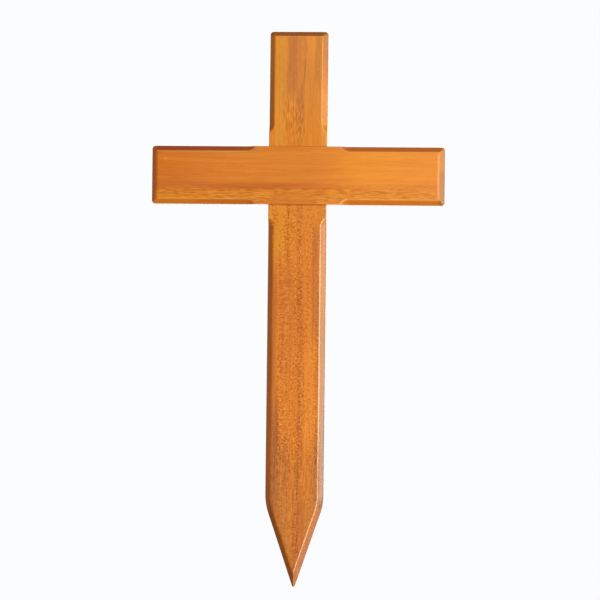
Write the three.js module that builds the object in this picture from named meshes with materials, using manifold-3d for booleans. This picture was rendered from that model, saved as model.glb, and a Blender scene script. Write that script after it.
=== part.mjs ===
// Wooden grave cross: a pointed post and a crossarm, two planed boards of one section, halved
// into each other so that both faces lie flush.
//
// Millimetres. +Z is up, +X is to the right of a person who faces the cross, and the front face
// looks along -Y. The origin is on the post's axis, at the ground line of the planted cross.
//
// Separate pieces: upright, crossarm.

import * as THREE from "three";
import { ConvexGeometry } from "three/addons/geometries/ConvexGeometry.js";
import { mergeVertices } from "three/addons/utils/BufferGeometryUtils.js";
import Module from "manifold-3d";

const wasm = await Module();
wasm.setup();

// Boards
const BOARD_WIDTH = 70; // planed width of both boards
const BOARD_THICKNESS = 22; // planed thickness of both boards
const ARM_LENGTH = 353.5; // end to end of the crossarm
const TOP_TO_ARM_CENTRE = 173.75; // post's top end down to the crossarm's middle line
const TOP_TO_SHOULDER = 569.5; // post's top end down to where the sawn point begins
const CORNER_RADIUS = 4; // corners of the outline at the three square ends

// Sawn point of the post
const POINT_HALF_ANGLE = THREE.MathUtils.degToRad(18.8); // each side against the post's axis
const SHOULDER_RADIUS = 69; // rubbed-down corner between the edge and the sawn side
const TIP_RADIUS = 1.7; // blunted tip
const GROUND_TO_TIP = 160; // how deep the tip stands in the ground

// Chamfers along the front edges, cut at 45 degrees by a bit that a bearing guides
const CHAMFER = 6.2; // width and depth of the chamfer
const BEARING_RADIUS = 6.35; // bearing below the bit's cone, which rolls along the board's edge
const STOP_TO_CROSSING = 16.5; // square edge left between a chamfer's end and the other board

// Halving joint
const LAP_DEPTH = BOARD_THICKNESS / 2; // wood taken out of each board
const JOINT_GAP = 0.3; // between faces that touch in the joint

// Fineness of the curves
const ARC_STEP = THREE.MathUtils.degToRad(2.5); // turn of the outline per facet
const BIT_SEGMENTS = 64; // facets round the bit's cone

// Derived sizes
const FRONT = -BOARD_THICKNESS / 2;
const BACK = BOARD_THICKNESS / 2;
const HALF_WIDTH = BOARD_WIDTH / 2;
const POINT_LENGTH = HALF_WIDTH / Math.tan(POINT_HALF_ANGLE);
const TIP_BLUNTING = TIP_RADIUS / Math.sin(POINT_HALF_ANGLE) - TIP_RADIUS;
const TIP_Z = -GROUND_TO_TIP;
const APEX_Z = TIP_Z - TIP_BLUNTING; // where the two sawn sides would meet
const SHOULDER_Z = APEX_Z + POINT_LENGTH;
const TOP_Z = SHOULDER_Z + TOP_TO_SHOULDER;
const ARM_Z = TOP_Z - TOP_TO_ARM_CENTRE;
// The cone fades out along the edge over this length, from the straight chamfer to nothing
const STOP_LENGTH = Math.sqrt((BEARING_RADIUS + CHAMFER) ** 2 - BEARING_RADIUS ** 2);
const STOP_FROM_CENTRE = HALF_WIDTH + STOP_TO_CROSSING + STOP_LENGTH;

const OVERCUT = 2; // how far a cutting shape runs past the wood

// Corner of an outline, rounded to a radius
function corner(x, z, radius) {
  return { at: new THREE.Vector2(x, z), radius };
}

// Closed convex outline round the corners, with a tangent arc at each
function roundedOutline(corners) {
  const points = [];
  corners.forEach(({ at, radius }, i) => {
    const before = corners[(i + corners.length - 1) % corners.length].at;
    const after = corners[(i + 1) % corners.length].at;
    const toBefore = before.clone().sub(at).normalize();
    const toAfter = after.clone().sub(at).normalize();
    const half = Math.acos(THREE.MathUtils.clamp(toBefore.dot(toAfter), -1, 1)) / 2;
    const middle = toBefore.clone().add(toAfter).normalize();
    const centre = at.clone().addScaledVector(middle, radius / Math.sin(half));
    const start = at.clone().addScaledVector(toBefore, radius / Math.tan(half)).sub(centre);
    const end = at.clone().addScaledVector(toAfter, radius / Math.tan(half)).sub(centre);
    const turn = Math.atan2(start.cross(end), start.dot(end));
    const steps = Math.ceil(Math.abs(turn) / ARC_STEP);
    for (let k = 0; k <= steps; k += 1) {
      points.push(start.clone().rotateAround(new THREE.Vector2(), (turn * k) / steps).add(centre));
    }
  });
  return points;
}

// Part of a convex outline on the inner side of a line
function clipOutline(points, origin, inward) {
  const kept = [];
  points.forEach((point, i) => {
    const next = points[(i + 1) % points.length];
    const depth = point.clone().sub(origin).dot(inward);
    const nextDepth = next.clone().sub(origin).dot(inward);
    if (depth >= 0) {
      kept.push(point.clone());
    }
    if (depth * nextDepth < 0) {
      kept.push(point.clone().lerp(next, depth / (depth - nextDepth)));
    }
  });
  return kept;
}

// Convex outline, counter-clockwise, drawn in by a distance on every side
function insetOutline(points, distance) {
  let inner = points.map((point) => point.clone());
  points.forEach((point, i) => {
    const along = points[(i + 1) % points.length].clone().sub(point).normalize();
    const inward = new THREE.Vector2(-along.y, along.x);
    inner = clipOutline(inner, point.clone().addScaledVector(inward, distance), inward);
  });
  return inner;
}

// Points of an outline at one depth of the board
function atDepth(points, y) {
  return points.map((point) => new THREE.Vector3(point.x, y, point.y));
}

// Solid for the boolean steps
function solid(geometry) {
  const bare = geometry.clone();
  bare.deleteAttribute("normal");
  bare.deleteAttribute("uv");
  const merged = mergeVertices(bare, 1e-4);
  return new wasm.Manifold(
    new wasm.Mesh({
      numProp: 3,
      vertProperties: new Float32Array(merged.attributes.position.array),
      triVerts: new Uint32Array(merged.index.array),
    }),
  );
}

// Box between two corners
function block(low, high) {
  const size = high.clone().sub(low);
  const box = new THREE.BoxGeometry(size.x, size.y, size.z);
  const middle = low.clone().add(high).multiplyScalar(0.5);
  box.translate(middle.x, middle.y, middle.z);
  return solid(box);
}

// Board with a chamfer all round its front face. The chamfer's corners are cones up to where
// the outline's rounding runs out, and sharp mitres from there on.
function chamferedBoard(outline) {
  const points = [...atDepth(outline, BACK), ...atDepth(outline, FRONT + CHAMFER)];
  for (const inset of [TIP_RADIUS, CORNER_RADIUS, CHAMFER]) {
    if (inset <= CHAMFER) {
      points.push(...atDepth(insetOutline(outline, inset), FRONT + CHAMFER - inset));
    }
  }
  return solid(new ConvexGeometry(points));
}

// Cone of the chamfering bit, stopped at a point beside the board's edge
function bitAt(x, z) {
  const profile = [
    new THREE.Vector2(0, FRONT - OVERCUT),
    new THREE.Vector2(BEARING_RADIUS + CHAMFER + OVERCUT, FRONT - OVERCUT),
    new THREE.Vector2(BEARING_RADIUS, FRONT + CHAMFER),
    new THREE.Vector2(0, FRONT + CHAMFER),
  ];
  const cone = new THREE.LatheGeometry(profile, BIT_SEGMENTS);
  cone.translate(x, 0, z);
  return solid(cone);
}

// Square-edged length round the crossing: the chamfers fade out into its four corners.
// The half sizes are along X and Z, and one of them is the board's half width.
function stoppedCrossing(halfX, halfZ, bitX, bitZ) {
  let crossing = block(
    new THREE.Vector3(-halfX, FRONT, ARM_Z - halfZ),
    new THREE.Vector3(halfX, BACK, ARM_Z + halfZ),
  );
  for (const sideX of [-1, 1]) {
    for (const sideZ of [-1, 1]) {
      crossing = crossing.subtract(bitAt(sideX * bitX, ARM_Z + sideZ * bitZ));
    }
  }
  return crossing;
}

// Mesh of one finished piece
function pieceMesh(body, name, colour, roughness) {
  const { vertProperties, triVerts } = body.getMesh();
  const shared = new THREE.BufferGeometry();
  shared.setAttribute("position", new THREE.BufferAttribute(new Float32Array(vertProperties), 3));
  shared.setIndex(new THREE.BufferAttribute(new Uint32Array(triVerts), 1));
  const geometry = shared.toNonIndexed();
  geometry.computeVertexNormals();
  const material = new THREE.MeshStandardMaterial({ color: colour, roughness, metalness: 0 });
  const mesh = new THREE.Mesh(geometry, material);
  mesh.name = name;
  return mesh;
}

// Post: pointed at the foot, notched across its front half for the crossarm
function upright() {
  const outline = roundedOutline([
    corner(0, APEX_Z, TIP_RADIUS),
    corner(HALF_WIDTH, SHOULDER_Z, SHOULDER_RADIUS),
    corner(HALF_WIDTH, TOP_Z, CORNER_RADIUS),
    corner(-HALF_WIDTH, TOP_Z, CORNER_RADIUS),
    corner(-HALF_WIDTH, SHOULDER_Z, SHOULDER_RADIUS),
  ]);
  const bitX = HALF_WIDTH + BEARING_RADIUS;
  const crossing = stoppedCrossing(HALF_WIDTH, STOP_FROM_CENTRE, bitX, STOP_FROM_CENTRE);
  const notch = block(
    new THREE.Vector3(-HALF_WIDTH - OVERCUT, FRONT - OVERCUT, ARM_Z - HALF_WIDTH - JOINT_GAP),
    new THREE.Vector3(
      HALF_WIDTH + OVERCUT,
      FRONT + LAP_DEPTH + JOINT_GAP / 2,
      ARM_Z + HALF_WIDTH + JOINT_GAP,
    ),
  );
  const body = chamferedBoard(outline).add(crossing).subtract(notch);
  return pieceMesh(body, "upright", 0xd08537, 0.42);
}

// Crossarm: notched across its back half, so that it passes in front of the post
function crossarm() {
  const halfLength = ARM_LENGTH / 2;
  const outline = roundedOutline([
    corner(-halfLength, ARM_Z - HALF_WIDTH, CORNER_RADIUS),
    corner(halfLength, ARM_Z - HALF_WIDTH, CORNER_RADIUS),
    corner(halfLength, ARM_Z + HALF_WIDTH, CORNER_RADIUS),
    corner(-halfLength, ARM_Z + HALF_WIDTH, CORNER_RADIUS),
  ]);
  const bitZ = HALF_WIDTH + BEARING_RADIUS;
  const crossing = stoppedCrossing(STOP_FROM_CENTRE, HALF_WIDTH, STOP_FROM_CENTRE, bitZ);
  const notch = block(
    new THREE.Vector3(
      -HALF_WIDTH - JOINT_GAP,
      BACK - LAP_DEPTH - JOINT_GAP / 2,
      ARM_Z - HALF_WIDTH - OVERCUT,
    ),
    new THREE.Vector3(HALF_WIDTH + JOINT_GAP, BACK + OVERCUT, ARM_Z + HALF_WIDTH + OVERCUT),
  );
  const body = chamferedBoard(outline).add(crossing).subtract(notch);
  return pieceMesh(body, "crossarm", 0xdc8437, 0.42);
}

const cross = new THREE.Group();
cross.name = "grave_cross";
cross.add(upright(), crossarm());

export default cross;
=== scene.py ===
"""Look of the wooden grave cross: two finely meshed boards, varnished wood, soft studio light."""

import math

import bmesh
import bpy
from mathutils import Matrix, Vector


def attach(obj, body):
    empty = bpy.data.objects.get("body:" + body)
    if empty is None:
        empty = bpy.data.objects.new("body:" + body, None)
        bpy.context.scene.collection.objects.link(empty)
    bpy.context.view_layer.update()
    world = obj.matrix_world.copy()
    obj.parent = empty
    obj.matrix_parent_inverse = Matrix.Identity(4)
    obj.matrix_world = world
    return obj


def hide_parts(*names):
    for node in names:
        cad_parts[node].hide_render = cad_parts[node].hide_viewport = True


MM = 0.001

# Sizes of the boards, millimetres, as in the part's solids
BOARD_WIDTH = 70.0
BOARD_THICKNESS = 22.0
ARM_LENGTH = 353.5
TOP_TO_ARM_CENTRE = 173.75
TOP_TO_SHOULDER = 569.5
CORNER_RADIUS = 4.0
POINT_HALF_ANGLE = math.radians(18.8)
SHOULDER_RADIUS = 69.0
TIP_RADIUS = 1.7
GROUND_TO_TIP = 160.0
CHAMFER = 6.2
BEARING_RADIUS = 6.35
STOP_TO_CROSSING = 16.5
LAP_DEPTH = BOARD_THICKNESS / 2

# What only the look has, millimetres
JOINT_GAP = 0.2  # between the boards in the joint, less than the solids keep
EDGE_EASING = 0.7  # radius of the sanded front edges
SEAM_EASING = 0.22  # the same radius where the other board crosses
SEAM_FADE = 2.0  # length over which one radius turns into the other
BACK_EASING = 1.0  # radius of the back edges
ARRIS_BLEND = 1.4  # how far the chamfers' inner arrises are rubbed round
ARM_END_BLEND = 2.6  # the same at the ends of the arm

# Mesh fineness, millimetres and numbers of steps
RIM_WIDTH = 9.6  # how far the rings of the mesh reach in from the edge
RING_STEP = 0.4
LONG_STEP = 7.0  # between columns of the mesh along an edge
STOP_STEP = 0.45  # the same where a chamfer runs out
STOP_MARGIN = 1.2  # how far the finer steps go on at both ends of the run-out
LEAST_STEP = 0.12  # a column that comes closer to the last one is left out
SEAM_STEPS = 5
EASING_STEPS = 5
SIDE_STEPS = 5
ARC_STEP = math.radians(3.0)
OVERCUT = 5.0  # how far the notches' cutting boxes run past the wood
WELD_DISTANCE = 1e-6  # metres
LEAST_EDGE = 1e-7  # metres
SHARP_ANGLE = math.radians(32)

HALF_WIDTH = BOARD_WIDTH / 2
FRONT = -BOARD_THICKNESS / 2
BACK = BOARD_THICKNESS / 2
POINT_LENGTH = HALF_WIDTH / math.tan(POINT_HALF_ANGLE)
TIP_BLUNTING = TIP_RADIUS / math.sin(POINT_HALF_ANGLE) - TIP_RADIUS
TIP_Z = -GROUND_TO_TIP
APEX_Z = TIP_Z - TIP_BLUNTING
SHOULDER_Z = APEX_Z + POINT_LENGTH
TOP_Z = SHOULDER_Z + TOP_TO_SHOULDER
ARM_Z = TOP_Z - TOP_TO_ARM_CENTRE
STOP_LENGTH = math.sqrt((BEARING_RADIUS + CHAMFER) ** 2 - BEARING_RADIUS**2)
BIT_FROM_CENTRE = HALF_WIDTH + STOP_TO_CROSSING + STOP_LENGTH

# Camera, metres and degrees, with the focal length in pixels of the 600 by 600 frame
FRAME_PX = 600
SENSOR_MM = 36.0
CAMERA_X = 0.1660
CAMERA_Y = -2.8
CAMERA_BELOW_ARM = 0.1919
CAMERA_YAW = -3.312
CAMERA_PITCH = 0.858
CAMERA_ROLL = 0.660
FOCAL_PX = 2323.8
CLIP_END = 50.0

# Area lights, metres and watts: name, place, what it faces, width, height, power
LIGHTS = (
    ("key", (1.39, -2.82, -0.43), (0.0, 0.0, 0.2), 2.2, 2.2, 116),
    ("above", (0.0, -1.35, 1.75), (0.0, 0.0, 0.4), 1.0, 1.3, 2.6),
    ("right_tall", (1.5, -0.10, 0.30), (0.0, 0.0, 0.3), 0.36, 1.1, 2.0),
    ("right_mid", (1.5, -0.10, 0.02), (0.0, 0.0, 0.1), 0.36, 0.8, 1.9),
    ("right_low", (1.5, -0.10, -0.20), (0.0, 0.0, 0.0), 0.36, 0.5, 1.1),
    ("right_foot", (1.5, -0.06, -0.76), (0.0, 0.0, -0.1), 0.36, 0.42, 2.4),
    ("left_low", (-1.5, -0.1, -0.2), (0.0, 0.0, 0.0), 0.36, 1.1, 0.5),
    ("backdrop", (0.0, 2.2, 0.3), (0.0, 0.0, 0.2), 3.4, 3.4, 50),
)
BACKGROUND = (251, 252, 254)
WORLD_STRENGTH = 0.1

# Colours are red, green and blue as the eye reads them, 0 to 255. Along and across a board are
# millimetres from the middle of the crossing: up or to the right is positive.

# Ground of a board: its first colour, and then from, to, and the colour that follows
UPRIGHT_GROUND = (
    (204, 119, 34),
    (
        (-430, -290, (222, 126, 28)),
        (-150, -40, (226, 134, 34)),
        (40, 120, (223, 139, 53)),
        # Painted light: lighter at the top of the post, making up for the key light falling off
        # there
        (118, 160, (236, 150, 60)),
    ),
)
# Lighter towards the right end: partly the wood's own tone, partly painted light from the right
CROSSARM_GROUND = (
    (216, 116, 28),
    (
        (-190, -60, (223, 130, 38)),
        (20, 90, (239, 143, 36)),
    ),
)

# Stains, and one painted glint: colour, its share, middle across, half width, from and to along,
# softness of the long sides as a share of the half width, and softness of the ends
UPRIGHT_STRIPES = (
    ((228, 148, 46), 0.7, -22.5, 6.0, 20, 200, 0.5, 25),
    ((228, 143, 28), 0.7, -20.0, 6.5, -110, 20, 0.5, 30),
    ((202, 121, 58), 0.9, -8.0, 6.0, 95, 190, 0.5, 20),
    ((211, 128, 57), 0.85, 2.0, 5.0, 60, 190, 0.6, 30),
    ((200, 124, 50), 0.6, 24.0, 4.0, 110, 190, 0.5, 20),
    ((194, 108, 46), 0.7, 22.5, 4.0, -190, -60, 0.5, 15),
    ((170, 98, 44), 0.75, 26.4, 4.0, -400, -305, 0.5, 15),
    ((170, 104, 44), 0.6, 28.6, 1.8, -310, -230, 0.5, 15),
    ((182, 100, 44), 0.7, -27.0, 3.6, -260, -105, 0.6, 20),
    ((174, 96, 40), 0.95, -24.5, 5.0, -480, -270, 0.5, 30),
    ((184, 104, 40), 0.55, -15.0, 6.5, -480, -318, 0.5, 18),
    ((236, 142, 42), 0.7, 14.0, 7.5, -320, -200, 0.5, 25),
    ((210, 116, 36), 0.7, -13.0, 10.0, -240, -110, 0.5, 30),
    ((184, 106, 46), 0.5, 27.5, 2.5, -300, -130, 0.5, 15),
    ((188, 98, 38), 0.5, 6.5, 5.5, -480, -396, 0.5, 12),
    # Top end, over the whole width
    ((188, 114, 74), 0.9, 0.0, 60.0, 168.5, 190, 0.1, 1.5),
)
# Browner towards the foot
UPRIGHT_RIGHT_EDGE = (
    ((200, 134, 52), 0.95, 33.0, 5.0, -480, -45, 0.5, 20),
    ((184, 124, 52), 0.95, 33.0, 5.0, -480, -180, 0.5, 40),
    ((158, 110, 54), 0.95, 33.0, 5.0, -480, -280, 0.5, 70),
    ((236, 156, 60), 0.9, 33.0, 5.0, 40, 108, 0.5, 16),
    ((200, 132, 54), 0.9, 33.0, 5.0, 132, 190, 0.5, 16),
)
CROSSARM_STRIPES = (
    ((240, 149, 38), 0.6, 12.0, 12.0, 50, 130, 0.5, 25),
    ((226, 128, 38), 0.6, 4.0, 9.0, -120, -30, 0.6, 30),
    # Reddish streak below the middle, broad at the left end
    ((203, 102, 30), 0.8, -13.8, 4.6, -190, 30, 0.6, 30),
    ((208, 108, 34), 0.6, -7.0, 8.0, -190, -120, 0.6, 30),
    ((218, 120, 38), 0.5, -14.5, 3.6, 10, 190, 0.6, 30),
    # Golden strip along the lower edge
    ((224, 138, 24), 0.6, -23.0, 5.5, -190, 190, 0.4, 25),
)
CROSSARM_EDGES = (
    # Lower edge from the left end to the right
    ((223, 137, 32), 0.9, -33.0, 4.0, -190, -118, 0.5, 18),
    ((208, 122, 36), 0.8, -33.0, 4.0, -105, -50, 0.5, 22),
    ((214, 130, 36), 0.9, -33.0, 4.0, 50, 190, 0.5, 10),
    # Upper edge, left and right of the crossing
    ((188, 100, 66), 0.8, 33.0, 4.0, -190, -60, 0.5, 20),
    ((225, 131, 64), 0.9, 33.0, 4.0, 50, 190, 0.5, 6),
    # Golden strip where it crosses the post
    ((206, 118, 34), 0.5, -26.0, 8.0, -30, 10, 0.5, 12),
    # Left end, over the whole width
    ((236, 140, 76), 0.9, 0.0, 60.0, -190, -172.5, 0.1, 2.5),
)
# Over the whole width, and lighter in its upper half
CROSSARM_RIGHT_END = (
    ((180, 121, 50), 0.95, 0.0, 60.0, 169.8, 190, 0.1, 2.4),
    ((212, 144, 66), 0.8, 24.0, 18.0, 169.8, 190, 0.4, 2.4),
)
# Painted glint near the upper left corner, where a dent in the varnish catches the light
CROSSARM_PAINTED_GLINT = (((250, 164, 96), 0.55, 19.0, 1.0, -161.4, -158.0, 0.6, 1.2),)

# Heart of the post's board from the foot up: along and across
HEART_LINE = (
    (-500, 2.0),
    (-390, 2.6),
    (-330, 6.0),
    (-150, 4.9),
    (-60, 3.6),
    (50, 2.0),
    (87, 4.1),
    (101, 4.5),
    (124, 7.0),
    (164, 8.9),
    (200, 9.5),
)
# Left limit and width of the strip in which the heart line is drawn
HEART_LEFT = -10
HEART_SPAN = 40

# Noise values from the edge of a fleck to where it is full
LATE_RANGE = (0.47, 0.63)
GLINT_RANGE = (0.49, 0.34)

# How far a surface looks to the front, where a chamfer has 0.71 and the face has 1
CHAMFER_TO_FACE = (0.72, 0.97)
CHAMFER_TO_ARRIS = (0.76, 0.84)
ARRIS_TO_FACE = (0.95, 0.998)


class Corner:
    """A corner of a convex outline that runs counter-clockwise seen from the front."""

    def __init__(self, x, z, radius):
        self.at = Vector((x, z))
        self.radius = radius

    def join(self, before, after):
        to_before = (before.at - self.at).normalized()
        to_after = (after.at - self.at).normalized()
        self.half = math.acos(max(-1.0, min(1.0, to_before.dot(to_after)))) / 2
        self.inward = (to_before + to_after).normalized()
        self.centre = self.at + self.inward * (self.radius / math.sin(self.half))
        self.start = self.at + to_before * (self.radius / math.tan(self.half)) - self.centre
        end = self.at + to_after * (self.radius / math.tan(self.half)) - self.centre
        self.turn = math.atan2(
            self.start.x * end.y - self.start.y * end.x, self.start.dot(end)
        )

    def foot(self, depth):
        """Distance along the edge from the sharp corner to where the drawn-in edge begins."""
        return max(self.radius, depth) / math.tan(self.half)

    def on_arc(self, share, depth):
        """Point after a share of the arc's turn, a depth in from the outline."""
        if depth >= self.radius:
            return self.at + self.inward * (depth / math.sin(self.half))
        angle = self.turn * share
        direction = Vector(
            (
                self.start.x * math.cos(angle) - self.start.y * math.sin(angle),
                self.start.x * math.sin(angle) + self.start.y * math.cos(angle),
            )
        ).normalized()
        return self.centre + direction * (self.radius - depth)


class Edge:
    """A straight edge between two corners. stops are the two places where the bit is lifted,
    and blend is how far the inner arris is rubbed round."""

    def __init__(self, first, last, stops, blend):
        self.first = first
        self.last = last
        self.stops = stops
        self.blend = blend
        self.length = (last.at - first.at).length
        self.along = (last.at - first.at).normalized()
        self.inward = Vector((-self.along.y, self.along.x))

    def at(self, t, depth):
        """Point at a distance along the edge, a depth in from it."""
        low = self.first.foot(depth)
        high = self.length - self.last.foot(depth)
        if low > high:
            low = high = (low + high) / 2
        return self.first.at + self.along * max(low, min(high, t)) + self.inward * depth

    def from_bit(self, t, depth):
        """Distance of a point from the bit's axis where it comes nearest."""
        if self.stops is None or t <= self.stops[0] or t >= self.stops[1]:
            return depth + BEARING_RADIUS
        reach = min(t - self.stops[0], self.stops[1] - t)
        return math.hypot(reach, depth + BEARING_RADIUS)

    def easing(self, t):
        """Radius of the sanded front edge, smaller where the other board crosses."""
        if self.stops is None:
            return EDGE_EASING
        reach = abs(t - sum(self.stops) / 2) - HALF_WIDTH
        share = max(0.0, min(1.0, reach / SEAM_FADE))
        return SEAM_EASING + (EDGE_EASING - SEAM_EASING) * share

    def places(self):
        """Distances along the edge where the mesh has a column, closer at run-outs and seams."""
        low = self.first.foot(0.0)
        high = self.length - self.last.foot(0.0)
        count = math.ceil((high - low) / LONG_STEP)
        marks = [low + (high - low) * k / count for k in range(count + 1)]
        if self.stops is not None:
            middle = sum(self.stops) / 2
            bit = (self.stops[1] - self.stops[0]) / 2
            steps = math.ceil((STOP_LENGTH + 2 * STOP_MARGIN) / STOP_STEP)
            away = [bit + STOP_MARGIN - k * STOP_STEP for k in range(steps + 1)]
            away += [HALF_WIDTH + SEAM_FADE * k / SEAM_STEPS for k in range(SEAM_STEPS + 1)]
            for side in (-1, 1):
                marks += [middle + side * reach for reach in away]
        kept = []
        for mark in sorted(round(mark, 4) for mark in marks):
            if not kept or mark - kept[-1] > LEAST_STEP:
                kept.append(mark)
        return kept


def front_at(from_bit, blend):
    """Depth of the chamfered front at a distance from the bit's axis, with the chamfer's inner
    arris rubbed round."""
    cut = CHAMFER + BEARING_RADIUS - from_bit
    share = max(0.0, 1.0 - abs(cut) / blend)
    return FRONT + max(0.0, cut) + blend * share * share / 4


def outline_samples(corners, edges):
    """Places round the outline: (point at a depth, distance from the bit's axis, easing,
    blend)."""
    samples = []
    for i, (corner, edge) in enumerate(zip(corners, edges)):
        count = max(2, math.ceil(abs(corner.turn) / ARC_STEP))
        came_from = edges[i - 1].blend
        for k in range(count + 1):
            samples.append(
                (
                    lambda depth, c=corner, s=k / count: c.on_arc(s, depth),
                    lambda depth: depth + BEARING_RADIUS,
                    EDGE_EASING,
                    came_from + (edge.blend - came_from) * k / count,
                )
            )
        for t in edge.places()[1:-1]:
            samples.append(
                (
                    lambda depth, e=edge, t=t: e.at(t, depth),
                    lambda depth, e=edge, t=t: e.from_bit(t, depth),
                    edge.easing(t),
                    edge.blend,
                )
            )
    return samples


def section(from_bit, easing, blend):
    """Line from the front face round the edge to the back, as (depth in from the edge, y)."""
    rings = math.ceil(RIM_WIDTH / RING_STEP)
    line = [(RIM_WIDTH, FRONT)]
    for k in range(rings - 1, 0, -1):
        depth = easing + (RIM_WIDTH - easing) * k / rings
        line.append((depth, front_at(from_bit(depth), blend)))
    quarter = [math.pi / 2 * k / EASING_STEPS for k in range(EASING_STEPS + 1)]
    for angle in reversed(quarter):
        depth = easing * (1 - math.cos(angle))
        sunk = easing * (1 - math.sin(angle))
        line.append((depth, front_at(from_bit(depth), blend) + sunk))
    top = line[-1][1]
    bottom = BACK - BACK_EASING
    for k in range(1, SIDE_STEPS):
        line.append((0.0, top + (bottom - top) * k / SIDE_STEPS))
    for angle in quarter:
        depth = BACK_EASING * (1 - math.cos(angle))
        line.append((depth, bottom + BACK_EASING * math.sin(angle)))
    return line


def board_columns(samples):
    """For each place round the outline, the points from the front face round to the back."""
    columns = []
    for point_at, from_bit, easing, blend in samples:
        column = []
        for depth, y in section(from_bit, easing, blend):
            point = point_at(depth)
            column.append(Vector((point.x, y, point.y)))
        columns.append(column)
    return columns


def board_object(name, corners, stops, end_blend):
    """A chamfered board with sanded edges. stops gives, per edge, where the bit is lifted, and
    end_blend is for the edges without such a place."""
    count = len(corners)
    for i, corner in enumerate(corners):
        corner.join(corners[i - 1], corners[(i + 1) % count])
    edges = []
    for i in range(count):
        blend = ARRIS_BLEND if stops[i] else end_blend
        edges.append(Edge(corners[i], corners[(i + 1) % count], stops[i], blend))
    columns = board_columns(outline_samples(corners, edges))
    bm = bmesh.new()
    grid = [[bm.verts.new(p * MM) for p in column] for column in columns]
    for i, column in enumerate(grid):
        following = grid[(i + 1) % len(grid)]
        for k in range(len(column) - 1):
            bm.faces.new((column[k], following[k], following[k + 1], column[k + 1]))
    bm.faces.new([column[0] for column in grid])
    bm.faces.new([column[-1] for column in reversed(grid)])
    bmesh.ops.remove_doubles(bm, verts=bm.verts, dist=WELD_DISTANCE)
    bmesh.ops.dissolve_degenerate(bm, edges=bm.edges, dist=LEAST_EDGE)
    bmesh.ops.recalc_face_normals(bm, faces=bm.faces)
    mesh = bpy.data.meshes.new(name)
    bm.to_mesh(mesh)
    bm.free()
    piece = bpy.data.objects.new(name, mesh)
    bpy.context.scene.collection.objects.link(piece)
    return piece


def cut_box(piece, low, high):
    """Takes a box between two corners out of the piece."""
    bm = bmesh.new()
    bmesh.ops.create_cube(bm, size=1.0)
    size = [(b - a) * MM for a, b in zip(low, high)]
    middle = [(a + b) / 2 * MM for a, b in zip(low, high)]
    bmesh.ops.scale(bm, vec=size, verts=bm.verts)
    bmesh.ops.translate(bm, vec=middle, verts=bm.verts)
    mesh = bpy.data.meshes.new("cutter")
    bm.to_mesh(mesh)
    bm.free()
    cutter = bpy.data.objects.new("cutter", mesh)
    bpy.context.scene.collection.objects.link(cutter)
    step = piece.modifiers.new("notch", "BOOLEAN")
    step.operation = "DIFFERENCE"
    step.solver = "EXACT"
    step.object = cutter
    bpy.context.view_layer.update()
    shaped = piece.evaluated_get(bpy.context.evaluated_depsgraph_get())
    cut = bpy.data.meshes.new_from_object(shaped)
    piece.modifiers.clear()
    piece.data = cut
    bpy.data.objects.remove(cutter)


def finish_mesh(piece):
    """Splits the large flats into triangles and smooths the shading of the sanded edges."""
    bm = bmesh.new()
    bm.from_mesh(piece.data)
    bmesh.ops.triangulate(bm, faces=[f for f in bm.faces if len(f.verts) > 4])
    for face in bm.faces:
        face.smooth = True
    bm.to_mesh(piece.data)
    bm.free()
    piece.data.set_sharp_from_angle(angle=SHARP_ANGLE)


def make_upright():
    """Post, notched across its front for the arm."""
    corners = [
        Corner(0, APEX_Z, TIP_RADIUS),
        Corner(HALF_WIDTH, SHOULDER_Z, SHOULDER_RADIUS),
        Corner(HALF_WIDTH, TOP_Z, CORNER_RADIUS),
        Corner(-HALF_WIDTH, TOP_Z, CORNER_RADIUS),
        Corner(-HALF_WIDTH, SHOULDER_Z, SHOULDER_RADIUS),
    ]
    up = (ARM_Z - BIT_FROM_CENTRE - SHOULDER_Z, ARM_Z + BIT_FROM_CENTRE - SHOULDER_Z)
    down = (TOP_Z - ARM_Z - BIT_FROM_CENTRE, TOP_Z - ARM_Z + BIT_FROM_CENTRE)
    piece = board_object("upright_board", corners, [None, up, None, down, None], ARRIS_BLEND)
    side = HALF_WIDTH + OVERCUT
    reach = HALF_WIDTH + JOINT_GAP
    floor = FRONT + LAP_DEPTH + JOINT_GAP / 2
    cut_box(piece, (-side, FRONT - OVERCUT, ARM_Z - reach), (side, floor, ARM_Z + reach))
    finish_mesh(piece)
    return piece


def make_crossarm():
    """Arm, notched across its back, so that it runs through in front."""
    half = ARM_LENGTH / 2
    corners = [
        Corner(-half, ARM_Z - HALF_WIDTH, CORNER_RADIUS),
        Corner(half, ARM_Z - HALF_WIDTH, CORNER_RADIUS),
        Corner(half, ARM_Z + HALF_WIDTH, CORNER_RADIUS),
        Corner(-half, ARM_Z + HALF_WIDTH, CORNER_RADIUS),
    ]
    bits = (half - BIT_FROM_CENTRE, half + BIT_FROM_CENTRE)
    piece = board_object("crossarm_board", corners, [bits, None, bits, None], ARM_END_BLEND)
    side = HALF_WIDTH + OVERCUT
    reach = HALF_WIDTH + JOINT_GAP
    floor = BACK - LAP_DEPTH - JOINT_GAP / 2
    cut_box(piece, (-reach, floor, ARM_Z - side), (reach, BACK + OVERCUT, ARM_Z + side))
    finish_mesh(piece)
    return piece


def rgb(red, green, blue):
    """Linear colour from one written as the eye reads it, 0 to 255."""

    def linear(value):
        value /= 255
        return value / 12.92 if value <= 0.04045 else ((value + 0.055) / 1.055) ** 2.4

    return (linear(red), linear(green), linear(blue), 1.0)


# Shares of red, green and blue that are left in late wood, on the worked edges, on end grain
# and in the drying line
LATE_WOOD = (0.72, 0.54, 0.14, 1.0)
EDGE_TONE = (0.93, 0.80, 0.56, 1.0)
END_TONE = (0.45, 0.43, 1.0, 1.0)
DRYING_LINE = (0.55, 0.55, 0.55, 1.0)
# Light between the cells; rubbed arrises with a painted highlight on them; and a painted
# highlight on the right arris
GLINT = rgb(250, 166, 70)
RUBBED_AND_HIGHLIGHT = rgb(252, 174, 96)
ARRIS_HIGHLIGHT = rgb(255, 214, 168)


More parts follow.
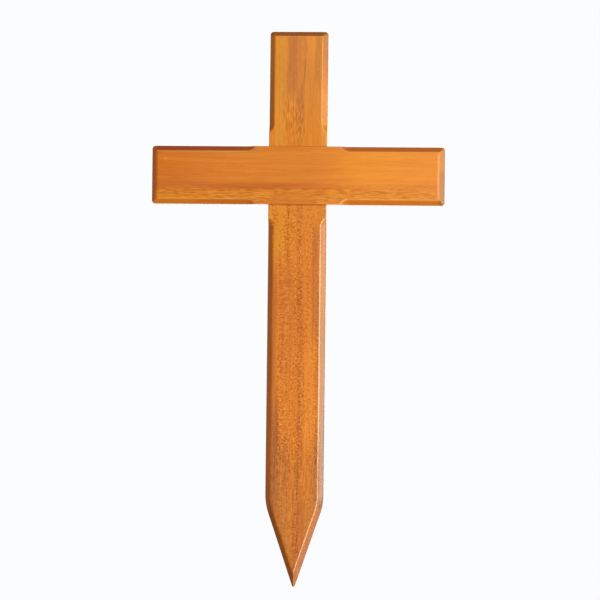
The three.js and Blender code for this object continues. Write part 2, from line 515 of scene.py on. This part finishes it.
class Nodes:
    """Short names for the nodes of one material."""

    def __init__(self, material):
        material.use_nodes = True
        self.tree = material.node_tree
        self.tree.nodes.clear()

    def new(self, kind, **values):
        node = self.tree.nodes.new(kind)
        for key, value in values.items():
            setattr(node, key, value)
        return node

    def put(self, socket, value):
        if isinstance(value, bpy.types.NodeSocket):
            self.tree.links.new(value, socket)
        else:
            socket.default_value = value

    def math(self, operation, a, b=0.0, c=0.0):
        node = self.new("ShaderNodeMath", operation=operation)
        for socket, value in zip(node.inputs, (a, b, c)):
            self.put(socket, value)
        return node.outputs[0]

    def times(self, share, *more):
        for value in more:
            share = self.math("MULTIPLY", share, value)
        return share

    def less(self, share, part=1.0):
        """1, less that part of the share."""
        return self.math("MULTIPLY_ADD", share, -part, 1.0)

    def vector(self, x, y, z):
        node = self.new("ShaderNodeCombineXYZ")
        for socket, value in zip(node.inputs, (x, y, z)):
            self.put(socket, value)
        return node.outputs[0]

    def noise(self, vector, detail=1.0, roughness=0.5):
        node = self.new("ShaderNodeTexNoise")
        self.put(node.inputs["Vector"], vector)
        node.inputs["Scale"].default_value = 1.0
        node.inputs["Detail"].default_value = detail
        node.inputs["Roughness"].default_value = roughness
        return node.outputs[0]

    def remap(self, value, low, high, to_low=0.0, to_high=1.0, curve="SMOOTHSTEP"):
        node = self.new("ShaderNodeMapRange", interpolation_type=curve)
        self.put(node.inputs["Value"], value)
        node.inputs["From Min"].default_value = low
        node.inputs["From Max"].default_value = high
        node.inputs["To Min"].default_value = to_low
        node.inputs["To Max"].default_value = to_high
        return node.outputs[0]

    def mix(self, share, a, b, blend="MIX"):
        node = self.new("ShaderNodeMix", data_type="RGBA", blend_type=blend)
        self.put(node.inputs["Factor"], share)
        self.put(node.inputs["A"], a)
        self.put(node.inputs["B"], b)
        return node.outputs["Result"]


class Board(Nodes):
    """Coordinates of one board for its wood: along and across the grain, and depth, in mm."""

    def __init__(self, material, along_x, wander):
        super().__init__(material)
        parts = self.new("ShaderNodeSeparateXYZ")
        self.put(parts.inputs[0], self.new("ShaderNodeTexCoord").outputs["Object"])
        x = self.math("MULTIPLY", parts.outputs[0], 1 / MM)
        z = self.math("MULTIPLY_ADD", parts.outputs[2], 1 / MM, -ARM_Z)
        self.depth = self.math("MULTIPLY", parts.outputs[1], 1 / MM)
        self.along, self.across = (x, z) if along_x else (z, x)
        facing = self.new("ShaderNodeSeparateXYZ")
        self.put(facing.inputs[0], self.new("ShaderNodeNewGeometry").outputs["Normal"])
        self.to_front = self.math("MULTIPLY", facing.outputs[1], -1.0)
        self.to_right = facing.outputs[0]
        self.to_sky = facing.outputs[2]
        self.to_end = self.math("ABSOLUTE", facing.outputs[0 if along_x else 2])
        self.on_face = self.remap(self.to_front, *CHAMFER_TO_FACE, 0.25, 1.0)
        self.on_arris = self.times(
            self.remap(self.to_front, *CHAMFER_TO_ARRIS),
            self.remap(self.to_front, *ARRIS_TO_FACE, 1.0, 0.0),
        )
        # The grain wanders a little on its way along the board
        drift = self.math("MULTIPLY_ADD", self.cloud(40, 130, 37), wander, -wander / 2)
        self.figure = self.math("ADD", self.across, drift)

    def cloud(self, width, length, shift, detail=1.0, roughness=0.5, across=None):
        """Noise with grains of that width across and length along the board."""
        across = self.across if across is None else across
        place = self.vector(
            self.math("DIVIDE", across, width),
            self.math("DIVIDE", self.depth, width),
            self.math("DIVIDE", self.math("ADD", self.along, shift), length),
        )
        return self.noise(place, detail, roughness)

    def grain(self, width, length, shift, detail=1.0, roughness=0.5):
        """The same, following the wandering grain."""
        return self.cloud(width, length, shift, detail, roughness, self.figure)

    def patch(self, middle, half, low, high, soft_across=0.6, soft_along=25.0):
        """Soft-edged stretch of the board, 1 inside: across from its middle, along from low to
        high."""
        away = self.math("ABSOLUTE", self.math("SUBTRACT", self.figure, middle))
        strip = self.remap(away, half * (1 - soft_across), half * (1 + soft_across), 1.0, 0.0)
        start = self.remap(self.along, low - soft_along, low + soft_along)
        end = self.remap(self.along, high - soft_along, high + soft_along, 1.0, 0.0)
        return self.times(strip, start, end)

    def ground(self, first, steps):
        """Colour that changes along the board."""
        colour = rgb(*first)
        for low, high, tint in steps:
            colour = self.mix(self.remap(self.along, low, high), colour, rgb(*tint))
        return colour

    def lay_patches(self, colour, table):
        """The colour with the patches of a table laid over it, stains and the painted glint
        alike.
        """
        for tint, share, *place in table:
            colour = self.mix(self.times(self.patch(*place), share), colour, rgb(*tint))
        return colour

    def redden(self, colour, share):
        """The colour with a share of it turned to the dark, saturated tone of the late wood."""
        return self.mix(share, colour, LATE_WOOD, "MULTIPLY")

    def fleck(self, colour, noise, share):
        """Late wood where the noise is high, and the light between the cells where it is low."""
        share = self.times(self.on_face, share)
        colour = self.redden(colour, self.times(self.remap(noise, *LATE_RANGE), share))
        return self.mix(self.times(self.remap(noise, *GLINT_RANGE), share, 0.5), colour, GLINT)

    def banded(self, colour, width, length, darkest):
        """Soft dark and light bands along the grain. darkest is the noise of a full dark one."""
        bands = self.grain(width, length, 210)
        colour = self.redden(colour, self.remap(bands, 0.45, darkest, 0.0, 0.16))
        return self.mix(self.remap(bands, 0.5, 0.3, 0.0, 0.14), colour, GLINT)


def varnish(n, colour, pore_tone):
    """Pores with a share of the late wood's tone, and clear satin varnish over the wood."""
    pores = n.remap(n.grain(0.3, 5.0, 900), 0.6, 0.7)
    colour = n.redden(colour, n.times(pores, pore_tone))
    # Chamfers and sides drink more varnish than the planed faces, end grain most of all
    worked = n.times(
        n.remap(n.to_front, *CHAMFER_TO_FACE, 1.0, 0.0), n.remap(n.to_front, -0.9, -0.4)
    )
    colour = n.mix(worked, colour, EDGE_TONE, "MULTIPLY")
    # Inner arrises are rubbed lighter and carry a painted highlight, the upper ones only on the
    # side of the face
    rubbed_and_highlight = n.times(n.on_arris, n.remap(n.to_right, -0.3, -0.1))
    upper = n.times(n.remap(n.to_sky, 0.1, 0.3, 0.0, 0.6), n.remap(n.to_front, 0.86, 0.93))
    share = n.math("ADD", n.remap(n.to_sky, 0.1, 0.3, 0.3, 0.0), upper)
    colour = n.mix(n.times(rubbed_and_highlight, share), colour, RUBBED_AND_HIGHLIGHT)
    colour = n.mix(n.remap(n.to_end, 0.72, 1.0, 0.0, 0.6), colour, END_TONE, "MULTIPLY")
    shader = n.new("ShaderNodeBsdfPrincipled")
    n.put(shader.inputs["Base Color"], colour)
    shader.inputs["Roughness"].default_value = 0.5
    shader.inputs["Specular IOR Level"].default_value = 0.08
    # Thin, dull varnish on the sanded arrises of the ends, and dust on what looks up
    dull = n.times(n.remap(n.to_end, 0.05, 0.25), n.remap(n.to_end, 0.5, 0.68, 1.0, 0.0))
    gloss = n.times(n.less(dull, 0.65), n.remap(n.to_sky, 0.5, 0.68, 1.0, 0.1))
    n.put(shader.inputs["Coat Weight"], gloss)
    shader.inputs["Coat Roughness"].default_value = 0.2
    # Pores are sunk in the flat faces only
    bump = n.new("ShaderNodeBump")
    flat = n.math("ABSOLUTE", n.to_front)
    n.put(bump.inputs["Strength"], n.remap(flat, 0.95, 0.999, 0.0, 0.3))
    bump.inputs["Distance"].default_value = 0.0001
    n.put(bump.inputs["Height"], n.less(pores))
    n.put(shader.inputs["Normal"], bump.outputs[0])
    output = n.new("ShaderNodeOutputMaterial")
    n.put(output.inputs["Surface"], shader.outputs[0])


def from_heart(n):
    """Distance from the heart of the board, which drifts across the post."""
    low = HEART_LINE[0][0]
    high = HEART_LINE[-1][0]
    spots = [((z - low) / (high - low), (x - HEART_LEFT) / HEART_SPAN) for z, x in HEART_LINE]
    path = n.new("ShaderNodeFloatCurve")
    n.put(path.inputs["Value"], n.remap(n.along, low, high, curve="LINEAR"))
    curve = path.mapping.curves[0]
    curve.points[0].location = spots[0]
    curve.points[1].location = spots[-1]
    for spot in spots[1:-1]:
        curve.points.new(*spot)
    path.mapping.update()
    middle = n.math("MULTIPLY_ADD", path.outputs[0], HEART_SPAN, HEART_LEFT)
    heart = n.math("SUBTRACT", n.across, middle)
    wobble = n.math("MULTIPLY_ADD", n.cloud(30, 20, 5, detail=2), 2.4, -1.2)
    return n.math("ABSOLUTE", n.math("ADD", heart, wobble))


def upright_figure(n, colour):
    """Heart, bands, mottled figure and flecks of the post."""
    away = from_heart(n)
    below = n.remap(n.along, -40, 40, 1.0, 0.0)
    above = n.less(below)
    broken = n.remap(n.cloud(4, 14, 71, detail=2), 0.35, 0.6, 0.2, 1.0)
    line = n.times(n.remap(away, 0.2, 2.2, 1.0, 0.0), above, broken)
    colour = n.mix(n.times(line, 0.5), colour, rgb(172, 96, 38))
    broad = n.remap(away, 2.4, 6.0, 1.0, 0.0)
    darker = n.times(broad, below, n.remap(n.along, -350, -310, 0.05, 0.2))
    colour = n.mix(darker, colour, rgb(196, 110, 48))
    # Fine upright bands over the whole board
    colour = n.banded(colour, 1.9, 80, 0.68)
    # Close mottled figure below the arm, in chains down the board
    streak = n.times(n.patch(23, 4, -190, -60, 0.4), 0.4)
    calm = n.math("MAXIMUM", n.patch(-27, 5, -480, -105, 0.4), streak)
    calm = n.math("MAXIMUM", calm, n.patch(6.5, 5.0, -480, -396, 0.4, 12))
    rippled = n.patch(-15, 9, -205, -100, 0.4, 20)
    mottled = n.times(
        n.remap(n.along, -60, 0, 1.0, 0.0),
        n.remap(n.along, -372, -330, 0.3, 1.0),
        n.remap(n.grain(3.4, 60, 19), 0.38, 0.62, 0.3, 1.0),
        n.less(calm, 0.75),
        n.less(n.patch(15, 9, -480, -60), 0.3),
        n.less(rippled, 0.5),
    )
    colour = n.fleck(colour, n.cloud(1.9, 2.1, 3), n.times(mottled, 0.9))
    colour = n.fleck(colour, n.cloud(4.8, 1.8, 47), n.times(rippled, 0.45))
    foot = n.times(n.remap(n.along, -390, -345, 0.3, 0.0), n.less(calm))
    colour = n.fleck(colour, n.cloud(3.4, 2.4, 83), foot)
    # Dark marks in the heart, and a row of dots to the left of it
    marks = n.remap(n.cloud(2.3, 1.6, 61), 0.48, 0.6)
    marks = n.times(marks, n.remap(n.along, -140, -100, 1.0, 0.55))
    colour = n.redden(colour, n.times(marks, broad, below, n.on_face))
    dots = n.patch(-10.2, 1.5, -105, -36, 0.5, 8)
    spots = n.remap(n.cloud(2.5, 1.7, 29), 0.42, 0.55)
    colour = n.redden(colour, n.times(spots, dots, n.on_face, 0.9))
    # Upright flecks over and under the mottled stretch
    low = n.times(n.remap(n.along, -350, -320, 1.0, 0.0), n.remap(n.along, -400, -360, 0.5, 1.0))
    over = n.times(n.patch(-6.0, 13.0, 36, 96, 0.5, 16), 0.6)
    broad_fleck = n.math("MAXIMUM", over, n.times(low, 0.4))
    colour = n.fleck(colour, n.grain(1.9, 10, 610), broad_fleck)
    low_fleck = n.times(low, 0.35, n.less(calm, 0.7))
    long_fleck = n.math("MAXIMUM", low_fleck, n.times(above, 0.16))
    return n.fleck(colour, n.grain(1.25, 7.5, 400, detail=2, roughness=0.55), long_fleck)


def upright_wood():
    material = bpy.data.materials.new("upright_wood")
    n = Board(material, along_x=False, wander=6.0)
    colour = n.lay_patches(n.ground(*UPRIGHT_GROUND), UPRIGHT_STRIPES)
    # The right edge's tones don't go round on the back
    edged = n.lay_patches(colour, UPRIGHT_RIGHT_EDGE)
    colour = n.mix(n.remap(n.to_front, -0.8, -0.4), colour, edged)
    # Sawn sides of the point
    point = n.remap(n.along, -415, -392, 1.0, 0.0)
    for side, tint in ((1, rgb(176, 108, 44)), (-1, rgb(182, 106, 36))):
        sawn = n.times(n.remap(n.to_right, 0.3 * side, 0.6 * side), point, 0.9)
        colour = n.mix(sawn, colour, tint)
    colour = upright_figure(n, colour)
    # Drying line near the foot, and finish in the seam with a painted shadow under the arm
    drying = n.times(n.patch(2.2, 0.7, -392, -342, 0.6, 6), 0.8)
    colour = n.mix(drying, colour, DRYING_LINE, "MULTIPLY")
    under = n.math("ABSOLUTE", n.math("ADD", n.along, HALF_WIDTH + 0.6))
    seam_finish_and_shadow = n.times(n.remap(under, 0.4, 1.8, 1.0, 0.0), n.remap(n.to_front, 0.3, 0.7))
    colour = n.redden(colour, n.times(seam_finish_and_shadow, 0.75))
    # Painted highlight along the right inner arris below the arm, on the side the key light falls
    # on
    painted_highlight = n.times(
        n.on_arris,
        n.remap(n.to_right, 0.1, 0.3),
        n.remap(n.along, -335, -290),
        n.remap(n.along, -120, -60, 1.0, 0.0),
        n.remap(n.along, -240, -180, 0.6, 0.35),
    )
    colour = n.mix(painted_highlight, colour, ARRIS_HIGHLIGHT)
    varnish(n, colour, 0.35)
    return material


def crossarm_wood():
    material = bpy.data.materials.new("crossarm_wood")
    n = Board(material, along_x=True, wander=2.0)
    colour = n.lay_patches(n.ground(*CROSSARM_GROUND), CROSSARM_STRIPES)
    # Close waving figure in the golden strip
    sway = n.noise(n.vector(n.math("DIVIDE", n.along, 12), 0.0, 4.0))
    waved = n.math("MULTIPLY_ADD", sway, 1.6, n.across)
    golden = n.patch(-25.0, 9.0, -190, 190, 0.2)
    colour = n.fleck(colour, n.cloud(1.25, 11, 8, across=waved), n.times(golden, 0.68))
    # Soft bands and long fine lines over the whole board, and a few dark dashes
    colour = n.banded(colour, 5.0, 120, 0.7)
    colour = n.fleck(colour, n.grain(1.6, 26, 400, detail=2), 0.15)
    dashes = n.remap(n.grain(1.0, 9, 55), 0.6, 0.68)
    streak = n.patch(-14.0, 5.0, 20, 190, 0.4)
    colour = n.redden(colour, n.times(dashes, streak, 0.6))
    colour = n.lay_patches(colour, CROSSARM_EDGES)
    # The right end's tones stop at the upper chamfer
    ended = n.lay_patches(colour, CROSSARM_RIGHT_END)
    colour = n.mix(n.remap(n.to_sky, 0.25, 0.5, 1.0, 0.0), colour, ended)
    # Painted glint near the arm's upper left corner
    colour = n.lay_patches(colour, CROSSARM_PAINTED_GLINT)
    # Finish in the joint's lower edge, with a painted shadow along it
    below = n.math("ABSOLUTE", n.math("ADD", n.across, HALF_WIDTH))
    beside = n.math("ABSOLUTE", n.along)
    joint_finish_and_shade = n.times(
        n.remap(below, 0.2, 1.2, 1.0, 0.0),
        n.remap(beside, HALF_WIDTH, HALF_WIDTH + 1, 1.0, 0.0),
    )
    colour = n.redden(colour, n.times(joint_finish_and_shade, 0.8))
    varnish(n, colour, 0.25)
    return material


def make_world():
    """Even, faint light all round, and a near-white background for the camera."""
    world = bpy.data.worlds.new("studio")
    bpy.context.scene.world = world
    world.use_nodes = True
    tree = world.node_tree
    tree.nodes.clear()
    seen = tree.nodes.new("ShaderNodeBackground")
    seen.inputs["Color"].default_value = rgb(*BACKGROUND)
    light = tree.nodes.new("ShaderNodeBackground")
    light.inputs["Color"].default_value = (1.0, 1.0, 1.0, 1.0)
    light.inputs["Strength"].default_value = WORLD_STRENGTH
    rays = tree.nodes.new("ShaderNodeLightPath")
    choice = tree.nodes.new("ShaderNodeMixShader")
    output = tree.nodes.new("ShaderNodeOutputWorld")
    tree.links.new(rays.outputs["Is Camera Ray"], choice.inputs[0])
    tree.links.new(light.outputs[0], choice.inputs[1])
    tree.links.new(seen.outputs[0], choice.inputs[2])
    tree.links.new(choice.outputs[0], output.inputs["Surface"])


def make_light(name, place, target, width, height, power):
    lamp = bpy.data.lights.new(name, "AREA")
    lamp.shape = "RECTANGLE"
    lamp.size = width
    lamp.size_y = height
    lamp.energy = power
    holder = bpy.data.objects.new(name, lamp)
    holder.location = place
    direction = Vector(target) - Vector(place)
    holder.rotation_euler = direction.to_track_quat("-Z", "Y").to_euler()
    holder.visible_camera = False
    bpy.context.scene.collection.objects.link(holder)


def make_camera():
    data = bpy.data.cameras.new("camera")
    data.sensor_fit = "HORIZONTAL"
    data.sensor_width = SENSOR_MM
    data.lens = SENSOR_MM * FOCAL_PX / FRAME_PX
    data.clip_end = CLIP_END
    yaw = math.radians(CAMERA_YAW)
    pitch = math.radians(CAMERA_PITCH)
    roll = math.radians(CAMERA_ROLL)
    ahead = Vector(
        (math.sin(yaw) * math.cos(pitch), math.cos(yaw) * math.cos(pitch), math.sin(pitch))
    )
    level = ahead.cross(Vector((0, 0, 1))).normalized()
    rise = level.cross(ahead)
    right = level * math.cos(roll) + rise * math.sin(roll)
    up = rise * math.cos(roll) - level * math.sin(roll)
    camera = bpy.data.objects.new("camera", data)
    turn = Matrix((right, up, -ahead)).transposed().to_4x4()
    place = Vector((CAMERA_X, CAMERA_Y, ARM_Z * MM - CAMERA_BELOW_ARM))
    camera.matrix_world = Matrix.Translation(place) @ turn
    bpy.context.scene.collection.objects.link(camera)
    bpy.context.scene.camera = camera


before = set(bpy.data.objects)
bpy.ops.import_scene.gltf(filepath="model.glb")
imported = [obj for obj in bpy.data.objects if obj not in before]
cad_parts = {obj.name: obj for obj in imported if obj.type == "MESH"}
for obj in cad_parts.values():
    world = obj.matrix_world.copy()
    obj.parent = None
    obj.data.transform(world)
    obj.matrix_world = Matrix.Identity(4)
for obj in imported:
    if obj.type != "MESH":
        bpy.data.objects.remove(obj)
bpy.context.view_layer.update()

upright = make_upright()
upright.data.materials.append(upright_wood())
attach(upright, "root")
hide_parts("upright")

crossarm = make_crossarm()
crossarm.data.materials.append(crossarm_wood())
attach(crossarm, "root")
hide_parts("crossarm")

make_world()
for light in LIGHTS:
    make_light(*light)
make_camera()
bpy.context.scene.view_settings.view_transform = "Standard"
